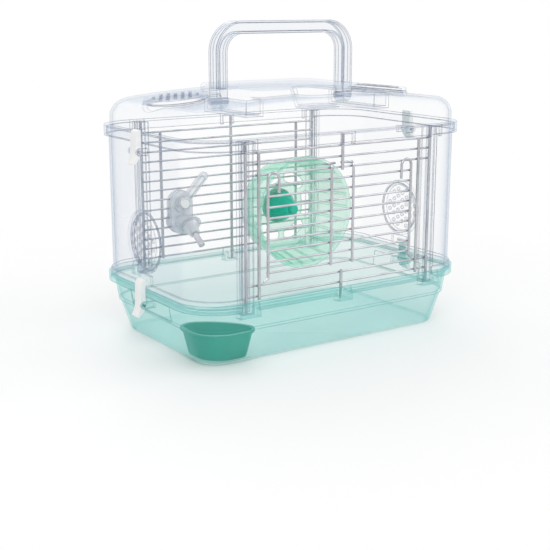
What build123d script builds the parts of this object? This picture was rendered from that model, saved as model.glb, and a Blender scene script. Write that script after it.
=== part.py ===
import os
from math import asin, atan2, cos, degrees, hypot, radians, sin, sqrt, tan

from build123d import *

# All sizes in millimetres and degrees. X runs along the long side, the front with the door faces -Y,
# Z is up. The origin is at the middle of the footprint, on the surface that the tray stands on.

# Outline shared by the tray flange and the lid rim
rim_length = 320.0
rim_depth = 208.0
rim_radius = 42.0
wall = 2.0
fit_gap = 0.3
running_gap = 0.05
snug_gap = 0.02

# How far a cut runs past a face, and how far joined bodies reach into each other
overrun = wall / 2

# Tray
tray_foot_inset = 21.0
tray_step_inset = 10.5
tray_band_inset = 9.0
tray_top_inset = 5.5
tray_step_height = 33.0
tray_base_round = 5.0
flange_bottom = 53.5
ledge_rise = 4.0
flange_lip = 4.0
pocket_hang = 5.5
pocket_proud = 1.5
pocket_flare = 2.5
pocket_back = 3.0
latch_panel_length = 76.0
latch_panel_recess = 0.9
latch_panel_margin = 5.0
ledge_top = flange_bottom + ledge_rise
flange_top = ledge_top + flange_lip
pocket_bottom = flange_bottom - pocket_hang
pocket_floor = pocket_bottom + wall

# Enclosure panels
panel_inset = 4.5
lid_seat = 205.3
band_proud = 2.1
band_height = 7.5
post_place = 107.0
post_half_width = 6.4
post_wall = 1.8
vent_rise = 10.0
keeper_overlap = 5.0
panel_half_length = rim_length / 2 - panel_inset

# Wire grilles, whose wires the door, the wheel holder and the drinker follow
wire_pitch = 10.0
wire_rows = 14
top_rows = 3
bottom_rows = 2
top_wire_drop = 11.3
rod_diameter = 3.0
wire_diameter = 2.0
weld_sink = 0.4
grille_inset = 7.0
frame_rod_place = 93.0
back_rod_place = 85.0
frame_rod_drop = 2.8
stub_end_drop = 2.4
wire_radius = wire_diameter / 2
rod_radius = rod_diameter / 2
grille_line = rim_depth / 2 - grille_inset
wire_line = grille_line - rod_radius - wire_radius + weld_sink
top_wire_height = lid_seat - top_wire_drop
rows = [top_wire_height - wire_pitch * row for row in range(wire_rows)]
frame_rod_bottom = rows[-1] - frame_rod_drop
opening_top = rows[top_rows - 1]
opening_bottom = rows[wire_rows - bottom_rows]

# Door
door_side_place = 83.5
door_rod_diameter = 2.6
door_step = 0.5
door_hook_radius = 6.0
door_hook_drop = 4.5
door_hook_leg = 12.5
door_middle_place = 12.7
door_middle_foot = 1.5
door_foot_drop = 4.0
hinge_eye_place = 87.5
hinge_bend_rise = 3.0
eye_wire_diameter = 2.2
eye_clearance = 0.08
catch_reach = 7.5
catch_rise = 3.2
catch_tip_inner = 3.4
catch_tip_outer = 16.9
door_hook_top = opening_top - door_hook_drop
door_hook_leg_end = door_hook_top - door_hook_leg

# Lid
lid_rim_drop = 8.0
lid_wall_inset = 6.0
crown_radius = 1200.0
crown_rise = 33.7
lid_round = 17.0
deck_half_length = 66.5
deck_half_depth = 56.0
deck_rise = 6.0
deck_corner = 14.0
deck_round = 3.0
scoop_length = 50.0
scoop_front = -76.0
scoop_back = -38.0
scoop_depth = 17.0
scoop_end_slope = 7.0
scoop_side_slope = 6.0
scoop_corner = 9.0
scoop_flare = 18.0
trench_clearance = 1.5
trench_depth = 22.0
trench_front = -60.0
lid_vent_place = 120.0
vent_seat_rise = 1.5
vent_seat_land = 1.0
vent_seat_depth = 9.0
lid_frame_half = 8.0
lid_frame_bar = 3.0
lid_frame_drop = 1.5
lid_rim_bottom = lid_seat - lid_rim_drop
lid_rim_top = lid_seat + wall
crown_top = lid_seat + crown_rise
crown_axis = crown_top - crown_radius
deck_top = crown_top + deck_rise
scoop_floor = deck_top - scoop_depth
trench_floor = deck_top - trench_depth

# Handle
handle_half_length = 80.0
handle_rise = 60.0
handle_section = 12.0
handle_thickness = 14.0
handle_corner = 29.0
handle_flange = 2.0
handle_web = 5.0
handle_pivot_rise = 8.0
handle_pin_diameter = 6.0
handle_top = deck_top + handle_rise
handle_pivot_height = trench_floor + handle_pivot_rise

# Perforated vents
vent_diameter = 60.0
vent_spigot = 53.4
vent_stand = 4.0
vent_plate = 1.6
vent_round = 1.2
vent_hole = 3.4
vent_pitch = 7.8
vent_hole_field = 23.0
vent_height = ledge_top + band_height + vent_rise + vent_diameter / 2
keeper_bottom = ledge_top + band_height - keeper_overlap
keeper_top = vent_height - vent_diameter / 2 - wall / 2

# End clips
clip_width = 12.0
clip_stand = 0.4
clip_pin_diameter = 2.4
clip_pin_stand = 3.0
upper_pivot_drop = 7.3
lower_pivot_drop = 7.5
ear_thickness = 2.6
ear_radius = 3.4
clip_arm = 4.2
clip_crown_step = 0.2
clip_crown_fall = 0.6
clip_waist_rise = 7.0
clip_waist_swell = 0.6
clip_pivot_swell = 1.0
clip_tab_swell = 1.9
clip_tab_reach = 6.6
clip_tab_drop = 10.4
clip_tip_width = 1.3
clip_tip_fall = 1.4
clip_hollow_step = 0.8
clip_hollow_rise = 2.4
clip_heel_drop = 2.0
clip_nose_height = 2.6
upper_clip_rise = 2.3
lower_clip_rise = 8.0
clip_line = rim_length / 2 + clip_stand
clip_pin_reach = rim_length / 2 + clip_pin_stand
upper_pivot_height = lid_rim_bottom - upper_pivot_drop
lower_pivot_height = flange_bottom - lower_pivot_drop

# Running wheel, level with one of the wires
wheel_place = 56.5
wheel_row = 9
wheel_stand = 12.0
wheel_width = 48.0
wheel_front_radius = 60.0
wheel_back_radius = 51.0
wheel_wall = 1.8
wheel_rib_count = 24
wheel_rib_height = 1.4
wheel_rib_width = 2.2
wheel_windows = 6
wheel_window_place = 33.0
wheel_window_width = 11.0
wheel_window_sweep = 30.0
axle_diameter = 6.0
axle_seat = 3.0
hub_base_diameter = 34.0
hub_tip_diameter = 13.0
hub_length = 22.0
hub_round = 2.0
cap_wall = 2.0
cap_length = 4.5
cap_round = 1.5
mount_diameter = 38.0
mount_thickness = 4.0
mount_boss_wall = 4.0
peg_diameter = 5.0
clamp_plate = 3.0
clamp_length = 30.0
clamp_width = 18.0
wheel_height = rows[wheel_row]
wheel_back = grille_line - wheel_stand
wheel_front = wheel_back - wheel_width
hub_front = wheel_back - hub_length

# Drinker, whose bolt passes midway between two wires
drinker_place = -65.0
lever_row = 7
spout_drop = 20.0
spout_slope = 35.0
spout_stand = 21.0
spout_length = 31.0
spout_diameter = 6.5
spout_bore = 5.6
spout_lip = 5.0
spout_lip_length = 0.6
spout_round = 0.3
spout_seat = 0.2
ball_diameter = 5.4
body_diameter = 20.0
body_tip_diameter = 10.0
body_length = 15.0
neck_diameter = 16.0
knuckle_diameter = 18.0
collar_place = 1.0
collar_proud = 2.0
collar_thickness = 2.0
drinker_plate_width = 26.0
lever_length = 41.0
lever_tail = 10.0
lever_tail_width = 6.0
lever_width = 9.0
lever_angle = 46.0
lever_thickness = 4.0
lever_hub_diameter = 14.0
lever_groove_shift = 4.0
lever_groove_short = 10.0
lever_groove_rim = 2.0
lever_groove_depth = 1.0
bolt_diameter = 5.0
bolt_head_diameter = 9.0
bolt_head_reach = 4.0
bolt_foot_diameter = 10.0
bolt_foot_length = 2.5
socket_diameter = 24.0
socket_wall = 2.0
lever_height = rows[lever_row] - wire_pitch / 2
spout_height = lever_height - spout_drop
spout_start = grille_line - spout_stand

# Corner bowl
bowl_side = 46.0
bowl_height = 27.0
bowl_corner = 24.0
bowl_point_round = 7.0
bowl_foot_round = 3.0
bowl_wall = 1.8
bowl_taper = 14.0
bowl_lip = 2.2
bowl_gap = 2.0
bowl_bow = 0.62
bowl_lip_reach = 1.4


def bar(start, end, diameter):
    """Round bar between two points."""
    start = Vector(*start)
    end = Vector(*end)
    run = end - start
    plane = Plane(origin=start, z_dir=run)
    return plane * upright(diameter / 2, run.length)


def pin_along_x(place, diameter, length):
    """Round pin along X, centred on a point."""
    return Pos(*place) * Rot(0, 90, 0) * Cylinder(diameter / 2, length)


def pin_along_y(place, diameter, length):
    """Round pin along Y, centred on a point."""
    return Pos(*place) * Rot(90, 0, 0) * Cylinder(diameter / 2, length)


def upright(radius, height):
    """Round body that stands on its plane."""
    return Cylinder(radius, height, align=(Align.CENTER, Align.CENTER, Align.MIN))


def rounded_block(half_x, half_y, radius, low, high):
    """Upright block with rounded corners between two heights."""
    outline = RectangleRounded(2 * half_x, 2 * half_y, radius)
    return Pos(0, 0, low) * extrude(outline, high - low)


def rim_block(inset, low, high):
    """Upright block that follows the shared rim outline, set in by a distance."""
    return rounded_block(rim_length / 2 - inset, rim_depth / 2 - inset, rim_radius - inset, low, high)


def rim_taper(inset_low, inset_high, low, high):
    """Body between two heights whose rim outline is set in by different distances."""
    outline = Sketch() + RectangleRounded(
        rim_length - 2 * inset_low, rim_depth - 2 * inset_low, rim_radius - inset_low
    )
    slope = degrees(atan2(inset_low - inset_high, high - low))
    return Pos(0, 0, low) * extrude(outline, high - low, taper=-slope)


def box(x0, x1, y0, y1, z0, z1):
    """Box between corner values given in any order."""
    size = (abs(x1 - x0), abs(y1 - y0), abs(z1 - z0))
    return Pos((x0 + x1) / 2, (y0 + y1) / 2, (z0 + z1) / 2) * Box(*size)


def joined(solids):
    """One body from several overlapping solids."""
    first, *rest = solids
    return first.fuse(*rest).clean() if rest else first


def mirrored_x(shape):
    """The shape at the other end."""
    return shape.mirror(Plane.YZ)


def mirrored_y(shape):
    """The shape on the other long side."""
    return shape.mirror(Plane.XZ)


def on_both_sides(shape):
    """A front shape and its mirror image at the back."""
    return [shape, mirrored_y(shape)]


def on_both_ends(shape):
    """A right-hand shape and its mirror image at the left end."""
    return [shape, mirrored_x(shape)]


def clip_ears(root_x, height):
    """Two ears on the right-hand end that carry a clip's pin."""
    ears = []
    bore = pin_along_y((clip_pin_reach, 0, height), clip_pin_diameter + 2 * snug_gap, 4 * clip_width)
    for side in (-1, 1):
        y_in = side * (clip_width / 2 + fit_gap)
        y_out = y_in + side * ear_thickness
        eye = pin_along_y((clip_pin_reach, (y_in + y_out) / 2, height), 2 * ear_radius, ear_thickness)
        arm = box(root_x, clip_pin_reach, y_in, y_out, height - ear_radius, height + ear_radius)
        ears.append(eye.fuse(arm).cut(bore))
    return ears


def socket_block(half_top, high):
    """Socket body on the front edge, flared at its foot."""
    half_low = half_top + pocket_flare
    y_out = rim_depth / 2 + pocket_proud
    y_in = rim_depth / 2 - tray_band_inset - wall
    points = [(-half_low, pocket_bottom), (half_low, pocket_bottom), (half_top, high), (-half_top, high)]
    face = make_face(Plane.XZ * Polyline(*points, close=True))
    return Pos(0, -y_in, 0) * extrude(face, y_out - y_in, dir=(0, -1, 0))


def base_tray():
    """Open tray: tapered lower body, stepped band, flange with ledge, sockets and clip ears."""
    high = flange_bottom + wall
    lower = rim_taper(tray_foot_inset, tray_step_inset, 0, tray_step_height)
    lower = fillet(lower.edges().group_by(Axis.Z)[0], tray_base_round)
    upper = rim_taper(tray_band_inset, tray_top_inset, tray_step_height, high)
    recess_top = high - latch_panel_margin
    recess_half = latch_panel_length / 2
    recess = box(0, rim_length, -recess_half, recess_half, tray_step_height + wall, recess_top)
    recess -= rim_taper(
        tray_band_inset + latch_panel_recess, tray_top_inset + latch_panel_recess, tray_step_height, high
    )
    upper = upper.cut(*on_both_ends(recess))
    inner_step = tray_step_height + wall
    low_gain = wall * (tray_foot_inset - tray_step_inset) / tray_step_height
    high_gain = wall * (tray_band_inset - tray_top_inset) / (high - tray_step_height)
    inner_low = rim_taper(tray_foot_inset + wall, tray_step_inset + wall - low_gain, 0, inner_step)
    inner_low -= box(-rim_length, rim_length, -rim_depth, rim_depth, -overrun, wall)
    inner_high = rim_taper(tray_band_inset + wall - high_gain, tray_top_inset + wall, inner_step, high)
    skirt = rim_block(0, flange_bottom, flange_top)
    skirt -= rim_block(wall, flange_bottom - overrun, ledge_top - wall)
    collar = rim_block(tray_top_inset, flange_bottom, ledge_top)
    solids = [lower, upper, skirt, collar]
    voids = [inner_low, inner_high]
    voids.append(rim_block(tray_top_inset + wall, high - fit_gap / 3, flange_top + overrun))
    voids.append(rim_block(wall, ledge_top, flange_top + overrun))
    y_deep = rim_depth / 2 - wall - fit_gap
    y_back = rim_depth / 2 - tray_band_inset - wall - pocket_back
    for x, half in ((-post_place, post_half_width), (0, rod_radius + wall), (post_place, post_half_width)):
        cavity_half = half + fit_gap
        block = Pos(x, 0, 0) * socket_block(cavity_half + wall, flange_top)
        cavity_top = flange_top + overrun
        cavity = box(x - cavity_half, x + cavity_half, -y_deep, -y_back, pocket_floor, cavity_top)
        solids += on_both_sides(block)
        voids += on_both_sides(cavity)
    for ear in clip_ears(rim_length / 2 - tray_band_inset - overrun, lower_pivot_height):
        solids += on_both_ends(ear)
    return joined(solids).cut(*voids)


def end_panel():
    """Right-hand end panel: clear U-shaped wall with channel posts at its two edges."""
    x_cut = post_place + post_half_width - wall
    block = rim_block(panel_inset, ledge_top, lid_seat)
    for low in (ledge_top, lid_seat - band_height):
        block = block.fuse(rim_block(panel_inset - band_proud, low, low + band_height))
    block -= rim_block(panel_inset + wall, ledge_top - overrun, lid_seat + overrun)
    panel = block & box(x_cut, rim_length, -rim_depth, rim_depth, 0, lid_seat + overrun)
    rod_front = grille_line + rod_radius + fit_gap
    wire_back = wire_line - wire_radius - fit_gap
    x_in = post_place - post_half_width
    x_out = post_place + post_half_width
    foot = pocket_floor + fit_gap
    post = [
        box(x_in, x_out, -rod_front, -rod_front - post_wall, foot, lid_seat),
        box(x_in, x_out, -wire_back, -wire_back + post_wall, foot, lid_seat),
        box(x_out - post_wall, x_out, -wire_back + post_wall, -rod_front - post_wall, foot, lid_seat),
    ]
    solids = [panel]
    for strip in post:
        solids += on_both_sides(strip)
    x_root = panel_half_length - overrun
    x_keeper = panel_half_length + band_proud
    solids += clip_ears(x_root, upper_pivot_height)
    solids.append(box(x_root, x_keeper, -clip_width, clip_width, keeper_bottom, keeper_top))
    port = pin_along_x((panel_half_length, 0, vent_height), vent_spigot + 2 * fit_gap, 4 * wall)
    return joined(solids) - port


def vent():
    """Raised perforated cap with a spigot below, standing on the XY plane."""
    radius = vent_diameter / 2
    cap = upright(radius, vent_stand)
    cap = fillet(cap.edges().group_by(Axis.Z)[-1], vent_round)
    spigot = Pos(0, 0, -wall) * upright(vent_spigot / 2, wall + overrun)
    hollow_height = wall + overrun + vent_stand - vent_plate
    hollow = Pos(0, 0, -wall - overrun) * upright(vent_spigot / 2 - vent_plate, hollow_height)
    shell = cap.fuse(spigot).cut(hollow)
    places = []
    reach = int(vent_hole_field / vent_pitch) + 1
    for row in range(-2 * reach, 2 * reach + 1):
        for column in range(-2 * reach, 2 * reach + 1):
            x = vent_pitch * (column + row / 2)
            y = vent_pitch * row * sqrt(3) / 2
            if hypot(x, y) < vent_hole_field:
                places.append((x, y))
    drill = Cylinder(vent_hole / 2, 3 * vent_stand)
    return shell.cut(*[Pos(x, y, vent_stand) * drill for x, y in places])


def end_vent():
    """Perforated cap on the right-hand end panel."""
    return Pos(panel_half_length, 0, vent_height) * Rot(0, 90, 0) * vent()


def grille(verticals, middle_cut):
    """Welded wire panel behind the front line; the opening is left out where a door goes."""
    end_foot = pocket_floor + fit_gap
    end_top = lid_seat - fit_gap
    parts = []
    for x, low, high in verticals:
        parts.append(bar((x, -grille_line, low), (x, -grille_line, high), rod_diameter))
    for index, height in enumerate(rows):
        if middle_cut and top_rows <= index < wire_rows - bottom_rows:
            continue
        left = (-post_place, -wire_line, height)
        right = (post_place, -wire_line, height)
        parts.append(bar(left, right, wire_diameter))
    for x in (-post_place, post_place):
        parts.append(bar((x, -grille_line, end_foot), (x, -grille_line, end_top), rod_diameter))
    return joined(parts)


def front_grille():
    """Front wire panel with the door opening and the two centre stubs."""
    stub_top = lid_seat - fit_gap
    verticals = [(x, frame_rod_bottom, top_wire_height) for x in (-frame_rod_place, frame_rod_place)]
    verticals.append((0, opening_top - stub_end_drop, stub_top))
    verticals.append((0, pocket_floor + fit_gap, opening_bottom + stub_end_drop))
    return grille(verticals, True)


def back_grille():
    """Back wire panel, closed by all its wires."""
    verticals = [(x, frame_rod_bottom, top_wire_height) for x in (-back_rod_place, back_rod_place)]
    verticals.append((0, pocket_floor + fit_gap, lid_seat - fit_gap))
    return mirrored_y(grille(verticals, False))


def swept_wire(path, diameter):
    """Wire of round section along a path."""
    start = Plane(origin=path @ 0, z_dir=path % 0)
    return sweep(start * Circle(diameter / 2), path=path)


def door():
    """Wire door: side wires with stop hooks, cross wires, catch wires and hinge eyes."""
    line = -grille_line - door_step
    cross_line = line + door_rod_diameter / 2 + wire_radius - weld_sink / 2
    door_rows = rows[top_rows:wire_rows - bottom_rows]
    low = door_rows[-1] - door_foot_drop
    parts = []
    for height in door_rows:
        left = (-door_side_place, cross_line, height)
        right = (door_side_place, cross_line, height)
        parts.append(bar(left, right, wire_diameter))
    eye_radius = wire_radius + eye_clearance + eye_wire_diameter / 2
    eye_line = -wire_line - eye_radius
    joint_height = opening_bottom + hinge_bend_rise
    bend = catch_rise
    diagonal = sqrt(0.5)
    catch_top = opening_top + bend
    tip = (line + catch_reach, catch_top)
    for side in (-1, 1):
        x_side = side * door_side_place
        x_leg = side * (door_side_place - 2 * door_hook_radius)
        x_mid = side * (door_side_place - door_hook_radius)
        x_eye = side * hinge_eye_place
        hook = Line((x_side, line, low), (x_side, line, door_hook_top))
        hook += ThreePointArc(
            (x_side, line, door_hook_top),
            (x_mid, line, door_hook_top + door_hook_radius),
            (x_leg, line, door_hook_top),
        )
        hook += Line((x_leg, line, door_hook_top), (x_leg, line, door_hook_leg_end))
        parts.append(swept_wire(hook, door_rod_diameter))
        parts.append(Pos(x_side, line, low) * Sphere(door_rod_diameter / 2))
        parts.append(bar((x_side, line, low), (x_eye, eye_line, joint_height), eye_wire_diameter))
        parts.append(Pos(x_eye, eye_line, joint_height) * Sphere(eye_wire_diameter / 2))
        eye_top = (x_eye, eye_line, joint_height)
        parts.append(bar(eye_top, (x_eye, eye_line, opening_bottom), eye_wire_diameter))
        ring = Rot(0, 90, 0) * Torus(eye_radius, eye_wire_diameter / 2)
        parts.append(Pos(x_eye, -wire_line, opening_bottom) * ring)
        x_bar = side * door_middle_place
        catch = Line((x_bar, line, door_rows[-1] - door_middle_foot), (x_bar, line, opening_top))
        catch += ThreePointArc(
            (x_bar, line, opening_top),
            (x_bar, line + bend * (1 - diagonal), opening_top + bend * diagonal),
            (x_bar, line + bend, catch_top),
        )
        catch += Line((x_bar, line + bend, catch_top), (x_bar, *tip))
        parts.append(swept_wire(catch, door_rod_diameter))
        parts.append(bar((side * catch_tip_inner, *tip), (side * catch_tip_outer, *tip), eye_wire_diameter))
    return joined(parts)


def crown(drop, low):
    """Solid under the gently crowned roof, the roof lowered by a distance."""
    roof = Pos(0, 0, crown_axis) * Rot(90, 0, 0) * Cylinder(crown_radius - drop, 2 * rim_depth)
    return roof & box(-rim_length, rim_length, -rim_depth, rim_depth, low, crown_top + 2 * overrun)


def lid_form(inset, drop, low, rounding):
    """Domed lid body: rim outline under the crowned roof with rounded shoulders."""
    body = rim_block(inset, low, crown_top + overrun) & crown(drop, low - overrun)
    roof = body.faces().sort_by(Axis.Z)[-1]
    return fillet(roof.edges(), rounding)


def deck_form(inset, top, low):
    """Raised middle deck that the handle folds round."""
    block = rounded_block(deck_half_length - inset, deck_half_depth - inset, deck_corner - inset, low, top)
    return fillet(block.edges().group_by(Axis.Z)[-1], deck_round)


def scoop_form(grow):
    """Finger recess at the front of the deck, wider above than below."""
    centre = (scoop_front + scoop_back) / 2
    depth = scoop_back - scoop_front
    tall = deck_top + overrun - scoop_floor + grow
    floor_length = scoop_length - 2 * scoop_end_slope + 2 * grow
    floor_depth = depth - 2 * scoop_side_slope + 2 * grow
    low = RectangleRounded(floor_length, floor_depth, scoop_corner + grow)
    return Pos(0, centre, scoop_floor - grow) * extrude(Sketch() + low, tall, taper=-scoop_flare)


def trench_form(grow):
    """Slot beside the deck that takes a handle leg, right-hand side."""
    x_in = handle_half_length - handle_section - trench_clearance - grow
    x_out = handle_half_length + trench_clearance + grow
    y_back = handle_thickness / 2 + trench_clearance + grow
    return box(x_in, x_out, trench_front - grow, y_back, trench_floor - grow, deck_top + overrun)


def shoulder_frame(rise):
    """Place on the crowned roof where a lid vent stands, right-hand side, lifted by a distance."""
    angle = degrees(asin(lid_vent_place / crown_radius))
    return Pos(0, 0, crown_axis) * Rot(0, angle, 0) * Pos(0, 0, crown_radius + rise)


def shoulder_disc(radius, rise, depth):
    """Round block square to the roof at a lid vent, from a depth below to a rise above it."""
    return shoulder_frame(-depth) * upright(radius, rise + depth)


def lid_shell():
    """Clear lid: rim skirt and shelf, domed body, deck, scoop, leg trenches and vent seats."""
    skirt = rim_block(0, lid_rim_bottom, lid_rim_top)
    skirt -= rim_block(wall, lid_rim_bottom - overrun, lid_seat)
    skirt -= rim_block(lid_wall_inset + wall, lid_rim_bottom - overrun, lid_rim_top + overrun)
    body = lid_form(lid_wall_inset, 0, lid_seat, lid_round)
    deck = deck_form(0, deck_top, trench_floor)
    seat_radius = vent_diameter / 2 + vent_seat_land
    seats = on_both_ends(shoulder_disc(seat_radius, vent_seat_rise, vent_seat_depth))
    outer = joined([body, deck] + seats)
    inner = lid_form(lid_wall_inset + wall, wall, lid_seat - overrun, lid_round - wall)
    hollow = inner.fuse(deck_form(wall, deck_top - wall, trench_floor))
    recesses = [scoop_form(0)] + on_both_ends(trench_form(0))
    linings = [scoop_form(wall)] + on_both_ends(trench_form(wall))
    port_radius = vent_spigot / 2 + fit_gap
    ports = on_both_ends(shoulder_disc(port_radius, vent_seat_rise + overrun, 2 * vent_seat_depth))
    shell = outer.cut(*recesses) - hollow.cut(*linings)
    shell = joined([skirt, shell]).cut(*ports)
    pin_place = (handle_half_length - handle_section / 2, 0, handle_pivot_height)
    pin_reach = handle_section + 2 * trench_clearance + 3 * wall
    pin_hole = pin_along_x(pin_place, handle_pin_diameter + 2 * snug_gap, pin_reach)
    shell = shell.cut(*on_both_ends(pin_hole))
    frames = []
    for x in (-post_place, 0, post_place):
        y_out = rim_depth / 2 + pocket_proud
        y_in = rim_depth / 2 - wall / 2
        low = lid_rim_bottom - lid_frame_drop
        frame = box(x - lid_frame_half, x + lid_frame_half, -y_out, -y_in, low, lid_rim_top)
        inner_half = lid_frame_half - lid_frame_bar
        y_front = -y_out - overrun
        z_low = low - overrun
        frame -= box(x - inner_half, x + inner_half, y_front, -rim_depth / 2, z_low, lid_rim_top - wall)
        frame -= box(x - inner_half, x + inner_half, y_front, -y_in + overrun, z_low, lid_rim_bottom)
        frames += on_both_sides(frame)
    return joined([shell] + frames)


def lid_vent():
    """Perforated cap on the right-hand shoulder of the lid."""
    return shoulder_frame(vent_seat_rise) * vent()


def carry_handle():
    """U-shaped handle of H-section with round eyes at its feet."""
    tall = handle_top - handle_pivot_height

    def arch(inset, foot):
        half = handle_half_length - inset
        high = tall - inset
        radius = handle_corner - inset
        block = box(-half, half, -handle_thickness / 2, handle_thickness / 2, foot, high)
        corners = block.edges().filter_by(Axis.Y).group_by(Axis.Z)[-1]
        return fillet(corners, radius)

    frame = arch(0, 0) - arch(handle_section, -overrun)
    groove = arch(handle_flange, handle_section)
    groove -= arch(handle_section - handle_flange, handle_section - overrun)
    sink = (handle_thickness + handle_web) / 2
    frame = frame.cut(Pos(0, sink, 0) * groove, Pos(0, -sink, 0) * groove)
    solids = [frame]
    x_eye = handle_half_length - handle_section / 2
    eye = pin_along_x((x_eye, 0, 0), handle_thickness, handle_section)
    bore = pin_along_x((x_eye, 0, 0), handle_pin_diameter + 2 * running_gap, 2 * handle_section)
    solids += on_both_ends(eye)
    handle = joined(solids).cut(*on_both_ends(bore))
    return Pos(0, 0, handle_pivot_height) * handle


def handle_pins():
    """Two pins that the handle turns on, held in the trench walls of the lid."""
    place = (handle_half_length - handle_section / 2, 0, handle_pivot_height)
    length = handle_section + 2 * trench_clearance + 2 * wall
    return on_both_ends(pin_along_x(place, handle_pin_diameter, length))


def clip(pivot_height, top, nose):
    """Right-hand clip: arm outside the rim, nose at its top, flared finger tab below."""
    x_out = clip_line + clip_arm
    x_tab = clip_pin_reach + clip_tab_reach
    z_tab = pivot_height - clip_tab_drop
    z_nose = top - clip_nose_height
    tip = (x_tab - clip_tip_width, z_tab - clip_tip_fall)
    heel = (clip_line, pivot_height - clip_heel_drop)
    outer = Spline(
        (nose, top),
        (clip_pin_reach + clip_crown_step, top - clip_crown_fall),
        (x_out, top - clip_arm),
        (x_out + clip_waist_swell, pivot_height + clip_waist_rise),
        (x_out + clip_pivot_swell, pivot_height),
        (x_out + clip_tab_swell, pivot_height - clip_tab_drop / 2),
        (x_tab, z_tab),
    )
    end = Line((x_tab, z_tab), tip)
    inner = Spline(tip, (clip_pin_reach + clip_hollow_step, z_tab + clip_hollow_rise), heel)
    side = Line(heel, (clip_line, z_nose))
    edges = [outer, end, inner, side]
    if nose < clip_line:
        edges.append(Line((clip_line, z_nose), (nose, z_nose)))
    edges.append(Line((min(nose, clip_line), z_nose), (nose, top)))
    face = make_face(Plane.XZ * (Curve() + edges))
    body = Pos(0, clip_width / 2, 0) * extrude(face, clip_width, dir=(0, -1, 0))
    pivot = (clip_pin_reach, 0, pivot_height)
    return body - pin_along_y(pivot, clip_pin_diameter + 2 * running_gap, 2 * clip_width)


def clip_pin(height):
    """Pin of a right-hand clip, held in its two ears."""
    length = clip_width + 2 * fit_gap + 2 * ear_thickness
    return pin_along_y((clip_pin_reach, 0, height), clip_pin_diameter, length)


def cone_along_y(radius_front, radius_back, front, back):
    """Frustum along Y between two depths, centred on the wheel's axis."""
    solid = Cone(radius_back, radius_front, back - front)
    return Pos(wheel_place, (front + back) / 2, wheel_height) * Rot(90, 0, 0) * solid


def wheel_drum():
    """Running wheel: tapered tread with inside ribs, rolled front rim and windowed back disc."""
    slope = (wheel_front_radius - wheel_back_radius) / (wheel_back - wheel_front)
    outer = cone_along_y(wheel_front_radius, wheel_back_radius, wheel_front, wheel_back)
    inner = cone_along_y(
        wheel_front_radius - wheel_wall + slope * overrun,
        wheel_back_radius - wheel_wall + slope * wheel_wall,
        wheel_front - overrun,
        wheel_back - wheel_wall,
    )
    drum = outer - inner
    rim = Pos(wheel_place, wheel_front + wheel_wall, wheel_height) * Rot(90, 0, 0) * Torus(
        wheel_front_radius - wheel_wall, wheel_wall
    )
    parts = [drum, rim]
    rib_back = wheel_back - wheel_wall / 2
    rib_front = wheel_front + wheel_wall
    for index in range(wheel_rib_count):
        angle = 360 * index / wheel_rib_count
        r_back = wheel_back_radius - wheel_wall - wheel_rib_height
        r_front = wheel_front_radius - wheel_wall - wheel_rib_height
        points = [
            (rib_back, r_back), (rib_back, r_back + wheel_rib_height + wheel_wall / 2),
            (rib_front, r_front + wheel_rib_height + wheel_wall / 2), (rib_front, r_front),
        ]
        face = make_face(Plane.YZ * Polyline(*points, close=True))
        rib = Pos(-wheel_rib_width / 2, 0, 0) * extrude(face, wheel_rib_width, dir=(1, 0, 0))
        parts.append(Pos(wheel_place, 0, wheel_height) * Rot(0, angle, 0) * rib)
    drum = joined(parts)
    first_angle = 90 - wheel_window_sweep / 2
    path = CenterArc((0, 0), wheel_window_place, first_angle, wheel_window_sweep)
    slot = SlotArc(path, wheel_window_width)
    windows = []
    for index in range(wheel_windows):
        angle = 360 * (index + 0.5) / wheel_windows
        window = Pos(0, wheel_back, 0) * Rot(90, 0, 0) * extrude(slot, 2 * wheel_wall, both=True)
        windows.append(Pos(wheel_place, 0, wheel_height) * Rot(0, angle, 0) * window)
    centre = (wheel_place, wheel_back, wheel_height)
    bore = pin_along_y(centre, axle_diameter + 2 * running_gap, 4 * wheel_wall)
    return drum.cut(*windows, bore)


def wheel_hub():
    """Cone in the middle of the wheel, in front of its back disc."""
    back = wheel_back - wheel_wall
    cone = cone_along_y(hub_tip_diameter / 2, hub_base_diameter / 2, hub_front, back)
    cone = fillet(cone.edges().group_by(Axis.Y)[0], hub_round)
    centre = (wheel_place, wheel_back, wheel_height)
    return cone - pin_along_y(centre, axle_diameter + 2 * running_gap, 4 * hub_length)


def along_y(x, height, diameter, front, back):
    """Round bar along Y between two depths."""
    return bar((x, front, height), (x, back, height), diameter)


def wheel_mount():
    """Inside half of the wheel holder with two pegs that pass between the back wires."""
    face = wire_line - wire_radius - fit_gap
    back = grille_line + clamp_plate
    front = face - mount_thickness
    parts = [along_y(wheel_place, wheel_height, mount_diameter, front, face)]
    boss_diameter = axle_diameter + 2 * mount_boss_wall
    boss_front = wheel_back + fit_gap
    parts.append(along_y(wheel_place, wheel_height, boss_diameter, boss_front, front + overrun))
    for peg in (-wire_pitch / 2, wire_pitch / 2):
        parts.append(along_y(wheel_place, wheel_height + peg, peg_diameter, face - overrun, back))
    bore_diameter = axle_diameter + 2 * snug_gap
    bore = along_y(wheel_place, wheel_height, bore_diameter, boss_front - overrun, front + axle_seat)
    return joined(parts) - bore


def wheel_clamp():
    """Outside plate of the wheel holder on the two pegs."""
    front = wire_line + wire_radius + fit_gap
    back = front + clamp_plate
    slot = SlotOverall(clamp_length, clamp_width, rotation=90)
    plate = Pos(wheel_place, front, wheel_height) * Rot(-90, 0, 0) * extrude(slot, clamp_plate)
    bore_diameter = peg_diameter + 2 * snug_gap
    bores = []
    for peg in (-wire_pitch / 2, wire_pitch / 2):
        height = wheel_height + peg
        bores.append(along_y(wheel_place, height, bore_diameter, front - overrun, back + overrun))
    return plate.cut(*bores)


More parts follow.
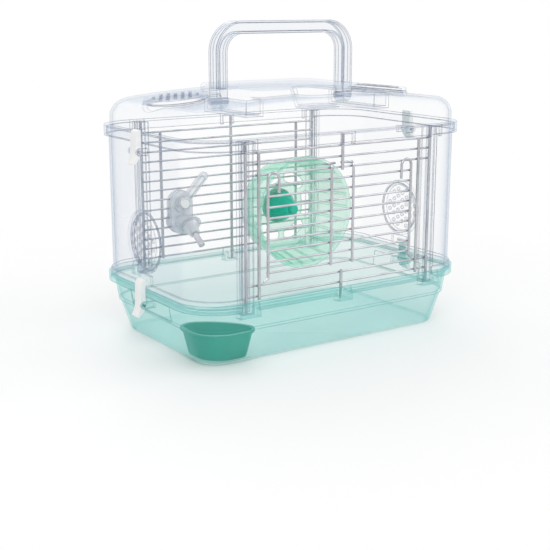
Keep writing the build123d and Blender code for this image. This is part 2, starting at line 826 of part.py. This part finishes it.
def wheel_axle():
    """Axle held in the mount and passing through the wheel to the cap."""
    mount_front = wire_line - wire_radius - fit_gap - mount_thickness
    axle_front = hub_front - fit_gap - axle_seat
    return along_y(wheel_place, wheel_height, axle_diameter, axle_front, mount_front + axle_seat)


def axle_cap():
    """Button on the axle's front end that keeps the wheel on."""
    back = hub_front - fit_gap
    cap = along_y(wheel_place, wheel_height, axle_diameter + 2 * cap_wall, back - cap_length, back)
    cap = fillet(cap.edges().group_by(Axis.Y)[0], cap_round)
    bore_diameter = axle_diameter + 2 * snug_gap
    return cap - along_y(wheel_place, wheel_height, bore_diameter, back - axle_seat, back + overrun)


def spout_point(distance):
    """Point on the drinker's sloping axis at a distance from its start."""
    slope = radians(spout_slope)
    return (drinker_place, spout_start - distance * cos(slope), spout_height - distance * sin(slope))


def spout_plane(distance):
    """Plane square to the drinker's sloping axis."""
    slope = radians(spout_slope)
    return Plane(origin=spout_point(distance), z_dir=(0, -cos(slope), -sin(slope)))


def plate_outline():
    """Tall slot shape round the drinker's spout and bolt, shared by its two plates."""
    return SlotOverall(spout_drop + drinker_plate_width, drinker_plate_width, rotation=90)


def bolt_bore(front, back):
    """Bore for the drinker's bolt that runs past both faces of a plate."""
    diameter = bolt_diameter + 2 * snug_gap
    return along_y(drinker_place, lever_height, diameter, front - overrun, back + overrun)


def drinker_plate():
    """Inside plate of the drinker, against the back wires."""
    back = wire_line - wire_radius - fit_gap
    middle = (spout_height + lever_height) / 2
    plate = Pos(drinker_place, back, middle) * Rot(90, 0, 0) * extrude(plate_outline(), clamp_plate)
    return plate - bolt_bore(back - clamp_plate, back)


def drinker_body():
    """Nozzle body: level neck on the plate, then a sloping bell that holds the spout."""
    plate_front = wire_line - wire_radius - fit_gap - clamp_plate
    neck = along_y(drinker_place, spout_height, neck_diameter, spout_start - overrun, plate_front)
    knuckle = Pos(drinker_place, spout_start, spout_height) * Sphere(knuckle_diameter / 2)
    standing = (Align.CENTER, Align.CENTER, Align.MIN)
    bell = Cone(body_diameter / 2, body_tip_diameter / 2, body_length, align=standing)
    collar = spout_plane(collar_place) * upright(body_diameter / 2 + collar_proud, collar_thickness)
    bore = spout_plane(0) * upright(spout_diameter / 2 + snug_gap, body_length + overrun)
    return joined([neck, knuckle, spout_plane(0) * bell, collar]) - bore


def spout_tube():
    """Steel drinking tube with its mouth drawn in to keep the ball."""
    outer = upright(spout_diameter / 2, spout_length)
    inner = upright(spout_bore / 2, spout_length - spout_lip_length)
    mouth = upright(spout_lip / 2, spout_length + overrun)
    tube = fillet(outer.edges().group_by(Axis.Z)[-1], spout_round)
    return spout_plane(spout_seat) * (tube - inner - mouth)


def spout_ball():
    """Ball resting inside the spout's mouth."""
    seat = sqrt((ball_diameter / 2) ** 2 - (spout_lip / 2) ** 2)
    distance = spout_seat + spout_length - spout_lip_length - seat - running_gap
    return Pos(*spout_point(distance)) * Sphere(ball_diameter / 2)


def drinker_back():
    """Outside plate of the drinker with the socket that takes a bottle's neck."""
    front = wire_line + wire_radius + fit_gap
    back = front + clamp_plate
    middle = (spout_height + lever_height) / 2
    plate = Pos(drinker_place, front, middle) * Rot(-90, 0, 0) * extrude(plate_outline(), clamp_plate)
    socket_end = rim_depth / 2
    bore_diameter = socket_diameter - 2 * socket_wall
    socket = along_y(drinker_place, spout_height, socket_diameter, back - overrun, socket_end)
    socket -= along_y(drinker_place, spout_height, bore_diameter, front, socket_end + overrun)
    return joined([plate, socket]) - bolt_bore(front, back)


def lever_planes():
    """Front and back depth of the turn lever."""
    back = wire_line - wire_radius - 2 * fit_gap - clamp_plate
    return back - lever_thickness, back


def drinker_bolt():
    """Bolt that the turn lever draws the two drinker plates together with."""
    front, back = lever_planes()
    outside = wire_line + wire_radius + fit_gap + clamp_plate
    head_back = front - fit_gap
    foot_end = outside + bolt_foot_length
    shank_front = head_back - overrun
    shank = along_y(drinker_place, lever_height, bolt_diameter, shank_front, outside + overrun)
    head = along_y(drinker_place, lever_height, bolt_head_diameter, front - bolt_head_reach, head_back)
    foot = along_y(drinker_place, lever_height, bolt_foot_diameter, outside, foot_end)
    return joined([shank, head, foot])


def turn_lever():
    """Long-armed lever that turns on the bolt in front of the drinker plate."""
    front, back = lever_planes()
    middle = (front + back) / 2
    reach = lever_length - lever_width / 2
    arm = Pos(reach / 2, 0, 0) * Box(reach, lever_width, lever_thickness)
    tip = Pos(reach, 0, 0) * Cylinder(lever_width / 2, lever_thickness)
    tail = Pos(-lever_tail / 2, 0, 0) * Box(lever_tail, lever_tail_width, lever_thickness)
    hub = Cylinder(lever_hub_diameter / 2, lever_thickness)
    bore = Cylinder(bolt_diameter / 2 + running_gap, 3 * lever_thickness)
    groove_length = reach - lever_groove_short
    groove_width = lever_width - 2 * lever_groove_rim
    groove = Box(groove_length, groove_width, 2 * lever_groove_depth)
    groove = Pos(reach / 2 + lever_groove_shift, 0, lever_thickness / 2) * groove
    lever = joined([arm, tip, tail, hub]) - bore - groove
    return Pos(drinker_place, middle, lever_height) * Rot(90, 0, 0) * Rot(0, 0, lever_angle) * lever


def food_bowl():
    """Corner bowl: two straight sides, a rounded corner and a bowed inner side."""
    x0 = -(rim_length / 2 - tray_foot_inset - wall - bowl_gap)
    y0 = -(rim_depth / 2 - tray_foot_inset - wall - bowl_gap)

    def outline(grow):
        side = bowl_side
        near = Line((bowl_corner, 0), (side, 0))
        bow = ThreePointArc((side, 0), (bowl_bow * side, bowl_bow * side), (0, side))
        left = Line((0, side), (0, bowl_corner))
        turn = RadiusArc((0, bowl_corner), (bowl_corner, 0), -bowl_corner)
        face = make_face(Curve() + [near, bow, left, turn])
        far = (side + bowl_corner) / 2
        points = face.vertices().filter_by(lambda point: max(point.X, point.Y) > far)
        face = fillet(points, bowl_point_round)
        return offset(face, grow, kind=Kind.ARC) if grow else face

    outer = extrude(Sketch() + outline(0), bowl_height, taper=-bowl_taper)
    outer = fillet(outer.edges().group_by(Axis.Z)[0], bowl_foot_round)
    spread = bowl_height * tan(radians(bowl_taper))
    lip = extrude(Sketch() + outline(spread + bowl_lip_reach), bowl_lip)
    lip = Pos(0, 0, bowl_height - bowl_lip) * lip
    inner = extrude(Sketch() + outline(-bowl_wall), bowl_height, taper=-bowl_taper)
    inner -= box(-rim_length, rim_length, -rim_depth, rim_depth, -overrun, bowl_wall)
    bowl = outer.fuse(lip) - inner - Pos(0, 0, bowl_height) * inner
    return Pos(x0, y0, wall) * bowl


def write(name, shape):
    """Write one sub-part, a solid or a list of solids, to its own file."""
    solids = shape if isinstance(shape, list) else [shape]
    flat = [solid for item in solids for solid in item.solids()]
    export_step(Compound(children=flat) if len(flat) > 1 else flat[0], f"parts/{name}.step")


def build():
    """Write every sub-part."""
    os.makedirs("parts", exist_ok=True)
    write("base_tray", base_tray())
    panel = end_panel()
    write("end_panel_right", panel)
    write("end_panel_left", mirrored_x(panel))
    cap = end_vent()
    write("end_vent_right", cap)
    write("end_vent_left", mirrored_x(cap))
    write("front_grille", front_grille())
    write("back_grille", back_grille())
    write("door", door())
    write("lid_shell", lid_shell())
    roof_cap = lid_vent()
    write("lid_vent_right", roof_cap)
    write("lid_vent_left", mirrored_x(roof_cap))
    write("carry_handle", carry_handle())
    write("handle_pins", handle_pins())
    upper = clip(upper_pivot_height, lid_rim_top + upper_clip_rise, clip_line)
    lower = clip(lower_pivot_height, flange_top + lower_clip_rise, panel_half_length + band_proud + fit_gap)
    write("upper_clip_right", upper)
    write("upper_clip_left", mirrored_x(upper))
    write("lower_clip_right", lower)
    write("lower_clip_left", mirrored_x(lower))
    write("upper_clip_pins", on_both_ends(clip_pin(upper_pivot_height)))
    write("lower_clip_pins", on_both_ends(clip_pin(lower_pivot_height)))
    write("wheel_drum", wheel_drum())
    write("wheel_hub", wheel_hub())
    write("wheel_mount", wheel_mount())
    write("wheel_clamp", wheel_clamp())
    write("wheel_axle", wheel_axle())
    write("axle_cap", axle_cap())
    write("drinker_plate", drinker_plate())
    write("drinker_body", drinker_body())
    write("drinker_back", drinker_back())
    write("drinker_bolt", drinker_bolt())
    write("turn_lever", turn_lever())
    write("spout_tube", spout_tube())
    write("spout_ball", spout_ball())
    write("food_bowl", food_bowl())


build()
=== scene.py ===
import math

import bpy
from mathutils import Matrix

# Looks of the hamster carrier: materials for the solids of the frame, a pale floor, soft light and the
# camera at the photograph's angle. Lengths in metres, angles in degrees, colours linear.

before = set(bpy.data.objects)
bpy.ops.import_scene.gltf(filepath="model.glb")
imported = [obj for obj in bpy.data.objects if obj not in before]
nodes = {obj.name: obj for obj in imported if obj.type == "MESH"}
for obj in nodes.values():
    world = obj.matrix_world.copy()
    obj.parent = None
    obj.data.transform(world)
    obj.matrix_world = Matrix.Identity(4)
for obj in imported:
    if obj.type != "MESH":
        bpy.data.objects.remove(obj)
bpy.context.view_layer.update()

# Camera
camera_place = (-0.618, -0.890, 0.322)
camera_turn = (75.96, 0.0, -34.37)
camera_lens = 71.46
camera_sensor = 36.0

# Lamps: name, place, size and power, all aimed at the middle of the part
lamps = (
    ("key_light", (-0.9, -1.3, 1.6), 1.2, 13.0),
    ("fill_light", (1.4, -0.9, 1.2), 1.4, 7.0),
    ("back_light", (0.3, 1.5, 1.4), 1.4, 8.0),
)
lamp_aim_height = 0.15
sky_level = 0.72

# Floor, which turns to plain white away from the part
floor_half = 12.0
floor_white = 0.9
floor_rough = 0.6
floor_fade_start = 0.28
floor_fade_end = 0.62

# Colours
clear_tint = (0.40, 0.52, 0.68)
clear_deep = (0.30, 0.42, 0.60)
# The four dark edge colours are painted shade: dark lines painted along the sharp edges of the see-through
# plastic.
painted_edge_shade_blue = (0.020, 0.040, 0.115)
teal_tint = (0.22, 0.80, 0.74)
teal_deep = (0.12, 0.62, 0.60)
painted_edge_shade_teal = (0.004, 0.19, 0.20)
mint_tint = (0.46, 0.90, 0.72)
mint_deep = (0.34, 0.82, 0.62)
painted_edge_shade_mint = (0.06, 0.46, 0.32)
frost_tint = (0.86, 0.88, 0.91)
frost_deep = (0.76, 0.79, 0.84)
painted_edge_shade_frost = (0.10, 0.14, 0.20)
green_tint = (0.012, 0.30, 0.20)
green_deep = (0.008, 0.23, 0.15)
hub_tint = (0.012, 0.50, 0.36)
hub_deep = (0.008, 0.40, 0.28)
white_tint = (0.90, 0.90, 0.89)
white_deep = (0.80, 0.81, 0.82)
wire_tint = (0.56, 0.57, 0.60)
wire_deep = (0.42, 0.43, 0.46)
steel_tint = (0.66, 0.67, 0.70)
steel_deep = (0.50, 0.51, 0.54)

# Surface grain shared by all materials
drift_detail = 3.0
drift_low = 0.35
drift_high = 0.7
ripple_depth = 0.0006
plastic_ior = 1.49
clear_ripple = 0.08
clear_rough_drift = 0.05

# See-through plastic: width of its dark edge lines, which are painted shade along its sharp edges, how far
# a rounded-off normal has to lean away from the true one, as a cosine, for no line and for a full one, and
# how it fills towards grazing angles
painted_edge_shade_width = 0.0012
painted_edge_shade_samples = 4
no_line_cosine = 0.99
full_line_cosine = 0.84
clear_gloss = 0.3
grazing_blend = 0.5
grazing_power = 4.0
lid_grazing_power = 5.5
clear_bounces = 64


def drifting_colour(tree, first, second, scale):
    """Noise in the object's own coordinates, and a colour that drifts with it between two tints."""
    place = tree.nodes.new("ShaderNodeTexCoord")
    noise = tree.nodes.new("ShaderNodeTexNoise")
    noise.inputs["Scale"].default_value = scale
    noise.inputs["Detail"].default_value = drift_detail
    tree.links.new(place.outputs["Object"], noise.inputs["Vector"])
    ramp = tree.nodes.new("ShaderNodeValToRGB")
    low, high = ramp.color_ramp.elements
    low.position = drift_low
    high.position = drift_high
    low.color = (*first, 1)
    high.color = (*second, 1)
    tree.links.new(noise.outputs["Fac"], ramp.inputs["Fac"])
    return noise, ramp.outputs["Color"]


def surface(name, tint, deep, scale, rough, rough_drift, bump, metallic=0.0):
    """Moulded plastic or plated metal with drifting colour and roughness and a fine moulded ripple."""
    material = bpy.data.materials.new(name)
    material.use_nodes = True
    tree = material.node_tree
    shader = tree.nodes["Principled BSDF"]
    shader.inputs["Metallic"].default_value = metallic
    shader.inputs["IOR"].default_value = plastic_ior
    noise, colour = drifting_colour(tree, tint, deep, scale)
    tree.links.new(colour, shader.inputs["Base Color"])
    spread = tree.nodes.new("ShaderNodeMapRange")
    spread.inputs["To Min"].default_value = rough
    spread.inputs["To Max"].default_value = rough + rough_drift
    tree.links.new(noise.outputs["Fac"], spread.inputs["Value"])
    tree.links.new(spread.outputs["Result"], shader.inputs["Roughness"])
    ripple = tree.nodes.new("ShaderNodeBump")
    ripple.inputs["Strength"].default_value = bump
    ripple.inputs["Distance"].default_value = ripple_depth
    tree.links.new(noise.outputs["Fac"], ripple.inputs["Height"])
    tree.links.new(ripple.outputs["Normal"], shader.inputs["Normal"])
    return material


def painted_edge_shade_mask(tree):
    """Mask of the painted shade: 1 beside a sharp edge of the moulding, where a dark edge line is painted,
    and 0 on its open faces.
    """
    rounded = tree.nodes.new("ShaderNodeBevel")
    rounded.samples = painted_edge_shade_samples
    rounded.inputs["Radius"].default_value = painted_edge_shade_width
    plain = tree.nodes.new("ShaderNodeNewGeometry")
    product = tree.nodes.new("ShaderNodeVectorMath")
    product.operation = "DOT_PRODUCT"
    tree.links.new(rounded.outputs["Normal"], product.inputs[0])
    tree.links.new(plain.outputs["Normal"], product.inputs[1])
    mask = tree.nodes.new("ShaderNodeMapRange")
    mask.inputs["From Min"].default_value = no_line_cosine
    mask.inputs["From Max"].default_value = full_line_cosine
    tree.links.new(product.outputs["Value"], mask.inputs["Value"])
    return mask.outputs["Result"]


def grazing_mask(tree, power):
    """0 where a face looks at the viewer, rising to 1 where it is seen along."""
    facing = tree.nodes.new("ShaderNodeLayerWeight")
    facing.inputs["Blend"].default_value = grazing_blend
    steep = tree.nodes.new("ShaderNodeMath")
    steep.operation = "POWER"
    steep.inputs[1].default_value = power
    tree.links.new(facing.outputs["Facing"], steep.inputs[0])
    return steep.outputs["Value"]


def colour_socket(sockets, name):
    """The colour socket with a name, among a mix node's sockets of several types."""
    return next(socket for socket in sockets if socket.name == name and socket.type == "RGBA")


def see_through(name, tint, deep, edge, scale, rough, face_on, edge_on, power=grazing_power):
    """Clear moulding: thin where it faces the viewer, full at grazing angles and along its sharp edges,
    where a dark edge colour is painted on as painted shade.
    """
    material = surface(name, tint, deep, scale, rough, clear_rough_drift, clear_ripple)
    tree = material.node_tree
    shader = tree.nodes["Principled BSDF"]
    shader.inputs["Specular IOR Level"].default_value = clear_gloss
    mask = painted_edge_shade_mask(tree)
    strongest = tree.nodes.new("ShaderNodeMath")
    strongest.operation = "MAXIMUM"
    tree.links.new(grazing_mask(tree, power), strongest.inputs[0])
    tree.links.new(mask, strongest.inputs[1])
    cover = tree.nodes.new("ShaderNodeMapRange")
    cover.inputs["To Min"].default_value = face_on
    cover.inputs["To Max"].default_value = edge_on
    tree.links.new(strongest.outputs["Value"], cover.inputs["Value"])
    tree.links.new(cover.outputs["Result"], shader.inputs["Alpha"])
    # Painted shade: the colour turns to the dark edge colour along the sharp edges.
    colour = shader.inputs["Base Color"].links[0].from_socket
    mix = tree.nodes.new("ShaderNodeMix")
    mix.data_type = "RGBA"
    colour_socket(mix.inputs, "B").default_value = (*edge, 1)
    tree.links.new(mask, mix.inputs["Factor"])
    tree.links.new(colour, colour_socket(mix.inputs, "A"))
    tree.links.new(colour_socket(mix.outputs, "Result"), shader.inputs["Base Color"])
    return material


clear = see_through(
    "clear_plastic", clear_tint, clear_deep, painted_edge_shade_blue,
    scale=14, rough=0.04, face_on=0.02, edge_on=0.85,
)
clear_lid = see_through(
    "clear_lid_plastic", clear_tint, clear_deep, painted_edge_shade_blue,
    scale=14, rough=0.04, face_on=0.012, edge_on=0.72, power=lid_grazing_power,
)
clear_handle = see_through(
    "clear_handle_plastic", clear_tint, clear_deep, painted_edge_shade_blue,
    scale=22, rough=0.05, face_on=0.08, edge_on=0.95,
)
teal = see_through(
    "teal_plastic", teal_tint, teal_deep, painted_edge_shade_teal,
    scale=12, rough=0.05, face_on=0.13, edge_on=0.75,
)
mint = see_through(
    "mint_plastic", mint_tint, mint_deep, painted_edge_shade_mint,
    scale=20, rough=0.12, face_on=0.26, edge_on=0.90,
)
frost = see_through(
    "frosted_plastic", frost_tint, frost_deep, painted_edge_shade_frost,
    scale=24, rough=0.16, face_on=0.42, edge_on=0.8,
)
green = surface(
    "green_plastic", green_tint, green_deep,
    scale=26, rough=0.18, rough_drift=0.10, bump=0.08,
)
hub_green = surface(
    "hub_plastic", hub_tint, hub_deep,
    scale=26, rough=0.14, rough_drift=0.08, bump=0.08,
)
white = surface(
    "white_plastic", white_tint, white_deep,
    scale=30, rough=0.28, rough_drift=0.12, bump=0.08,
)
wire = surface(
    "plated_wire", wire_tint, wire_deep,
    scale=60, rough=0.16, rough_drift=0.16, bump=0.12, metallic=1.0,
)
pin = surface(
    "polished_pin", steel_tint, steel_deep,
    scale=90, rough=0.10, rough_drift=0.10, bump=0.06, metallic=1.0,
)

finishes = {
    "base_tray": teal,
    "end_panel_left": clear,
    "end_panel_right": clear,
    "end_vent_left": clear,
    "end_vent_right": clear,
    "lid_shell": clear_lid,
    "lid_vent_left": clear_lid,
    "lid_vent_right": clear_lid,
    "carry_handle": clear_handle,
    "front_grille": wire,
    "back_grille": wire,
    "door": wire,
    "handle_pins": pin,
    "upper_clip_pins": pin,
    "lower_clip_pins": pin,
    "wheel_axle": pin,
    "spout_tube": pin,
    "spout_ball": pin,
    "upper_clip_left": white,
    "upper_clip_right": white,
    "lower_clip_left": white,
    "lower_clip_right": white,
    "drinker_bolt": white,
    "wheel_drum": mint,
    "wheel_hub": hub_green,
    "wheel_mount": green,
    "wheel_clamp": green,
    "axle_cap": hub_green,
    "food_bowl": green,
    "drinker_plate": frost,
    "drinker_body": frost,
    "drinker_back": frost,
    "turn_lever": frost,
}

for name, finish in finishes.items():
    slots = nodes[name].material_slots
    for slot in slots:
        slot.material = finish
    if not slots:
        nodes[name].data.materials.append(finish)


def stage_material():
    """White floor that keeps the object's shadow and fades to plain white away from it."""
    material = bpy.data.materials.new("studio_floor")
    material.use_nodes = True
    tree = material.node_tree
    shader = tree.nodes["Principled BSDF"]
    shader.inputs["Roughness"].default_value = floor_rough
    shader.inputs["Base Color"].default_value = (floor_white, floor_white, floor_white, 1)
    place = tree.nodes.new("ShaderNodeTexCoord")
    reach = tree.nodes.new("ShaderNodeVectorMath")
    reach.operation = "LENGTH"
    tree.links.new(place.outputs["Object"], reach.inputs[0])
    far = tree.nodes.new("ShaderNodeMapRange")
    far.interpolation_type = "SMOOTHSTEP"
    far.inputs["From Min"].default_value = floor_fade_start
    far.inputs["From Max"].default_value = floor_fade_end
    tree.links.new(reach.outputs["Value"], far.inputs["Value"])
    path = tree.nodes.new("ShaderNodeLightPath")
    seen = tree.nodes.new("ShaderNodeMath")
    seen.operation = "MULTIPLY"
    tree.links.new(far.outputs["Result"], seen.inputs[0])
    tree.links.new(path.outputs["Is Camera Ray"], seen.inputs[1])
    glow = tree.nodes.new("ShaderNodeEmission")
    mix = tree.nodes.new("ShaderNodeMixShader")
    tree.links.new(seen.outputs["Value"], mix.inputs["Fac"])
    tree.links.new(shader.outputs["BSDF"], mix.inputs[1])
    tree.links.new(glow.outputs["Emission"], mix.inputs[2])
    tree.links.new(mix.outputs["Shader"], tree.nodes["Material Output"].inputs["Surface"])
    return material


def studio_floor():
    """Large level floor under the part."""
    mesh = bpy.data.meshes.new("studio_floor")
    corners = [(-floor_half, -floor_half, 0), (floor_half, -floor_half, 0)]
    corners += [(floor_half, floor_half, 0), (-floor_half, floor_half, 0)]
    mesh.from_pydata(corners, [], [(0, 1, 2, 3)])
    floor = bpy.data.objects.new("studio_floor", mesh)
    bpy.context.scene.collection.objects.link(floor)
    mesh.materials.append(stage_material())


def studio_world():
    """Plain sky: white to the camera, in reflections and through glass, a little lower as light."""
    world = bpy.data.worlds.new("studio_world")
    bpy.context.scene.world = world
    world.use_nodes = True
    tree = world.node_tree
    tree.nodes.clear()
    output = tree.nodes.new("ShaderNodeOutputWorld")
    light = tree.nodes.new("ShaderNodeBackground")
    light.inputs["Color"].default_value = (1, 1, 1, 1)
    light.inputs["Strength"].default_value = sky_level
    shown = tree.nodes.new("ShaderNodeBackground")
    shown.inputs["Color"].default_value = (1, 1, 1, 1)
    path = tree.nodes.new("ShaderNodeLightPath")
    seen = path.outputs["Is Camera Ray"]
    for kind in ("Is Glossy Ray", "Is Transmission Ray"):
        either = tree.nodes.new("ShaderNodeMath")
        either.operation = "MAXIMUM"
        tree.links.new(seen, either.inputs[0])
        tree.links.new(path.outputs[kind], either.inputs[1])
        seen = either.outputs["Value"]
    mix = tree.nodes.new("ShaderNodeMixShader")
    tree.links.new(seen, mix.inputs["Fac"])
    tree.links.new(light.outputs["Background"], mix.inputs[1])
    tree.links.new(shown.outputs["Background"], mix.inputs[2])
    tree.links.new(mix.outputs["Shader"], output.inputs["Surface"])


def studio_lamps():
    """Soft square lamps round the part."""
    for name, place, size, power in lamps:
        data = bpy.data.lights.new(name, "AREA")
        data.size = size
        data.energy = power
        lamp = bpy.data.objects.new(name, data)
        bpy.context.scene.collection.objects.link(lamp)
        lamp.location = place
        aim = -lamp.location
        aim.z += lamp_aim_height
        lamp.rotation_euler = aim.to_track_quat("-Z", "Y").to_euler()


def studio_camera():
    """Camera at the photograph's angle."""
    data = bpy.data.cameras.new("camera")
    data.lens = camera_lens
    data.sensor_width = camera_sensor
    camera = bpy.data.objects.new("camera", data)
    bpy.context.scene.collection.objects.link(camera)
    camera.location = camera_place
    camera.rotation_euler = [math.radians(angle) for angle in camera_turn]
    bpy.context.scene.camera = camera


studio_floor()
studio_world()
studio_lamps()
studio_camera()

scene = bpy.context.scene
scene.view_settings.view_transform = "Standard"
scene.cycles.transparent_max_bounces = clear_bounces
